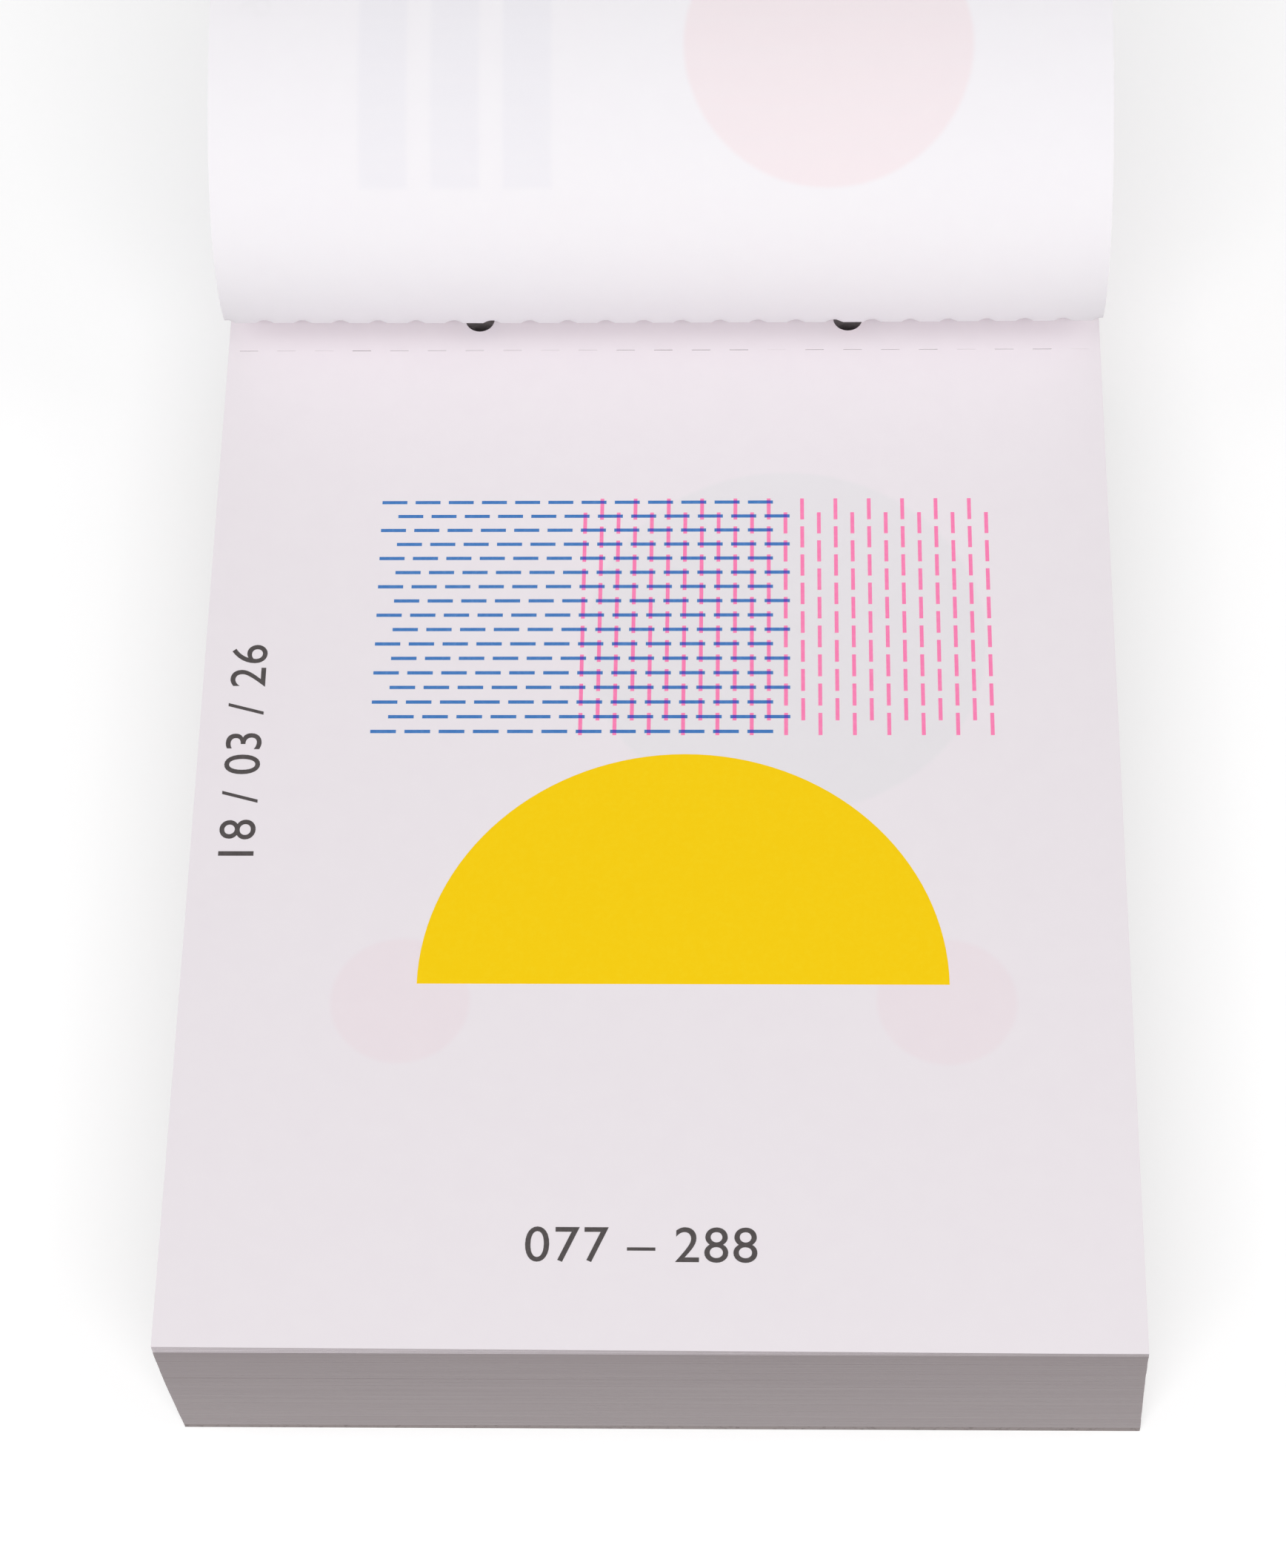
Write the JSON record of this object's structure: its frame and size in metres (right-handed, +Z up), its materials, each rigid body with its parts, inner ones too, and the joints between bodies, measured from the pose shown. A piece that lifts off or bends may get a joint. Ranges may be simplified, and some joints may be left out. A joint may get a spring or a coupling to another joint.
{
  "type": "tear off day calendar",
  "caption": "Padded block of perforated day leaves glued at the head to a backing board, with hanging holes and the last leaf turned up and back.",
  "frame": {"origin": "centre of the backing board's underside", "axes": "+X to the right of the page, +Y towards the glued head edge, +Z up out of the page"},
  "size_m": [0.15, 0.3363, 0.085],
  "materials": {
    "block_paper": "cut edges, matte",
    "leaf_paper": "uncoated, matte",
    "greyboard": "unlined, matte",
    "padding_glue": "dried film, satin"
  },
  "bodies": {
    "block": {"backing_board": "greyboard", "glue_binding": "padding_glue", "december_leaves": "block_paper", "november_leaves": "block_paper", "october_leaves": "block_paper", "september_leaves": "block_paper", "august_leaves": "block_paper", "july_leaves": "block_paper", "june_leaves": "block_paper", "may_leaves": "block_paper", "april_leaves": "block_paper", "late_march_leaves": "block_paper", "march_27_leaf": "leaf_paper", "march_26_leaf": "leaf_paper", "march_25_leaf": "leaf_paper", "march_24_leaf": "leaf_paper", "march_23_leaf": "leaf_paper", "march_22_leaf": "leaf_paper", "march_21_leaf": "leaf_paper", "march_20_leaf": "leaf_paper", "march_19_leaf": "leaf_paper", "showing_stub": "leaf_paper", "turned_stub": "leaf_paper"},
    "showing_leaf": {"showing_leaf": "leaf_paper"},
    "turned_leaf": {"turned_leaf": "leaf_paper"}
  },
  "joints": [
    {"name": "showing_leaf_fold", "type": "hinge", "parent": "block", "child": "showing_leaf", "pos_m": [0, 0.0845, 0.033], "axis": [-1, 0, 0], "range_deg": [0, 55]},
    {"name": "turned_leaf_fold", "type": "hinge", "parent": "block", "child": "turned_leaf", "pos_m": [0, 0.08609, 0.03942], "axis": [-1, 0, 0], "range_deg": [-42, 20]}
  ]
}
